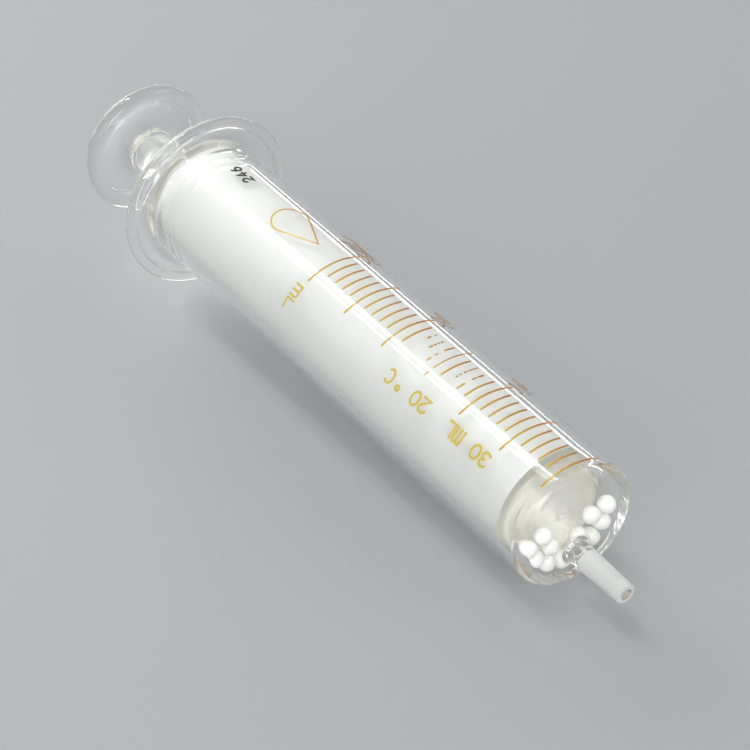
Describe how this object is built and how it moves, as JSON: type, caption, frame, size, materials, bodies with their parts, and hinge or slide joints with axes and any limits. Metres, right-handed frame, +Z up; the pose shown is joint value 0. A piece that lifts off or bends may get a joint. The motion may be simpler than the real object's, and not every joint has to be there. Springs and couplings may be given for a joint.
{
  "type": "glass oral syringe",
  "caption": "All-glass dosing syringe lying on its side: graduated barrel with finger flange and off-centre taper nozzle, ground plunger with thumb knob, loose white beads inside.",
  "frame": {"origin": "on the bore axis, under the zero line of the scale", "axes": "+X along the bore towards the nozzle, +Z up through the middle of the scale, the nozzle below the axis"},
  "size_m": [0.167, 0.0392, 0.0392],
  "materials": {
    "clear_glass": "clear borosilicate glass, fire-polished",
    "ground_glass": "ground matt glass",
    "brown_enamel": "fired brown stain",
    "amber_enamel": "fired amber stain",
    "black_enamel": "fired black stain",
    "white_bead": "smooth white, satin"
  },
  "bodies": {
    "barrel": {"barrel_tube": "clear_glass", "barrel_end": "clear_glass", "finger_flange": "clear_glass", "nozzle_neck": "clear_glass", "nozzle_taper": "ground_glass", "scale_short_lines": "brown_enamel", "scale_long_lines": "brown_enamel", "scale_numerals": "brown_enamel", "unit_mark": "amber_enamel", "capacity_mark": "amber_enamel", "drop_mark": "amber_enamel", "pair_number": "black_enamel"},
    "beads": {"bead_01": "white_bead", "bead_02": "white_bead", "bead_03": "white_bead", "bead_04": "white_bead", "bead_05": "white_bead", "bead_06": "white_bead", "bead_07": "white_bead", "bead_08": "white_bead", "bead_09": "white_bead", "bead_10": "white_bead", "bead_11": "white_bead", "bead_12": "white_bead"},
    "plunger": {"plunger_tube": "ground_glass", "plunger_end": "clear_glass", "plunger_shoulder": "clear_glass", "plunger_neck": "clear_glass", "thumb_knob": "clear_glass"}
  },
  "joints": [
    {"name": "beads_roll", "type": "hinge", "parent": "barrel", "child": "beads", "pos_m": [0, 0, 0], "axis": [1, 0, 0], "continuous": true},
    {"name": "plunger_slide", "type": "slide", "parent": "beads", "child": "plunger", "axis": [-1, 0, 0], "range_m": [0, 0.0694]}
  ]
}
